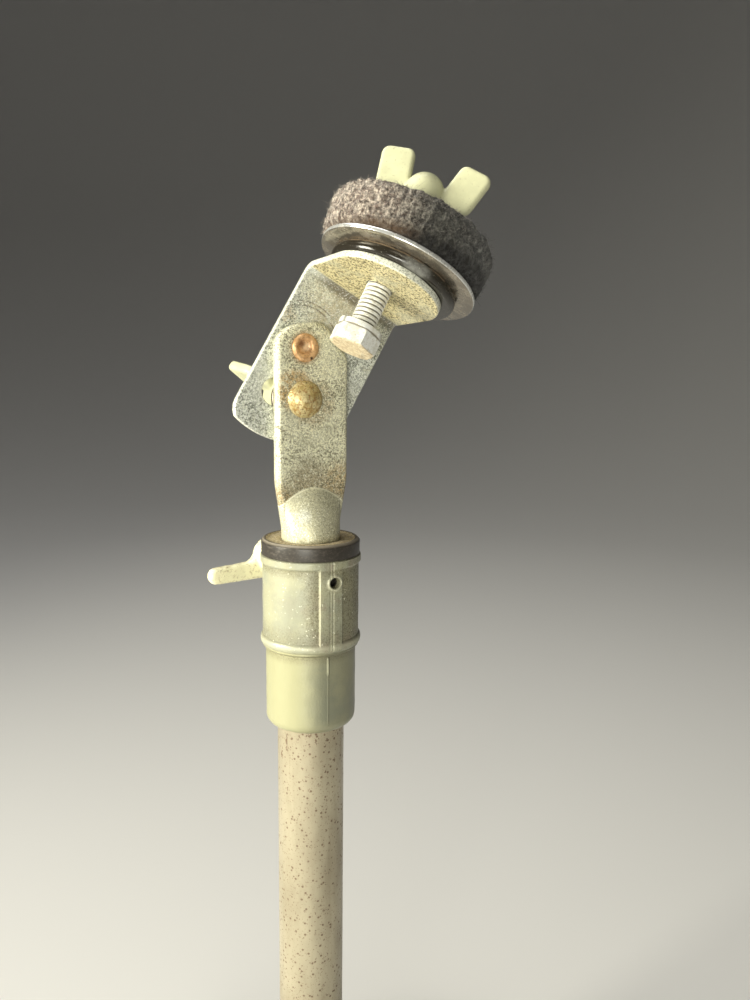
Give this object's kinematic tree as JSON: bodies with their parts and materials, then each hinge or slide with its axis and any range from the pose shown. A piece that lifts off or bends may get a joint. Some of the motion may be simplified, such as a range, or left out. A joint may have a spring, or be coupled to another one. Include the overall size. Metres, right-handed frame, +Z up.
{
  "type": "desktop microphone stand",
  "caption": "Telescoping desktop microphone stand: weighted round base, thumbscrew collar, flattened swivel neck and a slotted tilting bracket with a felt-faced clamp.",
  "frame": {"origin": "on the supporting surface under the centre of the round base", "axes": "+Z up along the tube; the flat face of the neck looks along -Y; at rest the head leans towards +X"},
  "size_m": [0.152, 0.152, 0.3736],
  "materials": {
    "base_enamel": "satin black enamel over cast iron, chipped at the rim",
    "foot_rubber": "matt",
    "plain_steel": "plain machined steel",
    "worn_chrome": "old plating, hazed and speckled with rust",
    "die_cast": "dull die-cast metal with a parting line and dust",
    "black_plastic": "satin, dusty on top",
    "pad_brass": "machined",
    "lever_cast": "yellowed cast metal",
    "nylon": "natural",
    "neck_zinc": "zinc plate with a fine dark spangle",
    "bracket_zinc": "zinc plate, frosted and blotched",
    "rivet_copper": "rusty copper-coloured",
    "bolt_brass": "yellow passivate, pitted and scratched",
    "bright_zinc": "bright zinc",
    "washer_rubber": "glossy, perished",
    "washer_steel": "bright plated",
    "felt_wool": "pressed wool felt, matted and fluffy",
    "nut_cream": "pale yellow matt coating"
  },
  "bodies": {
    "stand": {"base_plate": "base_enamel", "rubber_feet": "foot_rubber", "base_bolt": "plain_steel", "base_spring_washer": "plain_steel", "base_flat_washer": "plain_steel", "tube_plug": "plain_steel", "outer_tube": "worn_chrome", "clamp_collar": "die_cast", "collar_bush": "black_plastic"},
    "clamp_shoe": {"clamp_pad": "pad_brass"},
    "clamp_screw": {"clamp_wing_screw": "lever_cast"},
    "glide": {"guide_plug": "nylon"},
    "neck": {"neck_tube": "neck_zinc", "tilt_rivet": "rivet_copper", "carriage_bolt": "bolt_brass"},
    "head": {"bracket": "bracket_zinc", "hex_bolt": "bright_zinc", "lock_washer": "bright_zinc", "rubber_washer": "washer_rubber", "backing_washer": "washer_steel", "felt_washer": "felt_wool"},
    "tilt_spacer": {"tilt_washer": "washer_steel"},
    "tilt_nut": {"tilt_wing_nut": "nut_cream"},
    "top_spacer": {"top_washer": "washer_steel"},
    "top_nut": {"top_wing_nut": "nut_cream"}
  },
  "joints": [
    {"name": "height_slide", "type": "slide", "parent": "stand", "child": "glide", "axis": [0, 0, 1], "range_m": [0, 0.14]},
    {"name": "neck_swivel", "type": "hinge", "parent": "glide", "child": "neck", "pos_m": [0, 0, 0.25], "axis": [0, 0, 1], "continuous": true},
    {"name": "bracket_tilt", "type": "hinge", "parent": "neck", "child": "head", "pos_m": [-0.0027, 0, 0.3106], "axis": [0, 1, 0], "range_deg": [-28.85, 49]},
    {"name": "tilt_nut_travel", "type": "slide", "parent": "neck", "child": "tilt_spacer", "axis": [0, 1, 0], "range_m": [0, 0.00375]},
    {"name": "tilt_nut_spin", "type": "hinge", "parent": "tilt_spacer", "child": "tilt_nut", "pos_m": [-0.0027, 0, 0.2946], "axis": [0, 1, 0], "range_deg": [0, 1081]},
    {"name": "top_nut_travel", "type": "slide", "parent": "head", "child": "top_spacer", "axis": [0.4819, 0.0523, 0.8747], "range_m": [0, 0.00375]},
    {"name": "top_nut_spin", "type": "hinge", "parent": "top_spacer", "child": "top_nut", "pos_m": [0.01537, -0.01665, 0.32837], "axis": [0.4819, 0.0523, 0.8747], "range_deg": [0, 1081]},
    {"name": "clamp_screw_travel", "type": "slide", "parent": "stand", "child": "clamp_shoe", "axis": [-0.0698, 0.9976, 0], "range_m": [0, 0.002]},
    {"name": "clamp_screw_spin", "type": "hinge", "parent": "clamp_shoe", "child": "clamp_screw", "pos_m": [0, 0, 0.238], "axis": [-0.0698, 0.9976, 0], "range_deg": [0, 721]}
  ],
  "couplings": [
    {"joint": "tilt_nut_spin", "follows": "tilt_nut_travel", "rad_per_m": 5026.5},
    {"joint": "top_nut_spin", "follows": "top_nut_travel", "rad_per_m": 5026.5},
    {"joint": "clamp_screw_spin", "follows": "clamp_screw_travel", "rad_per_m": 6283.2}
  ]
}
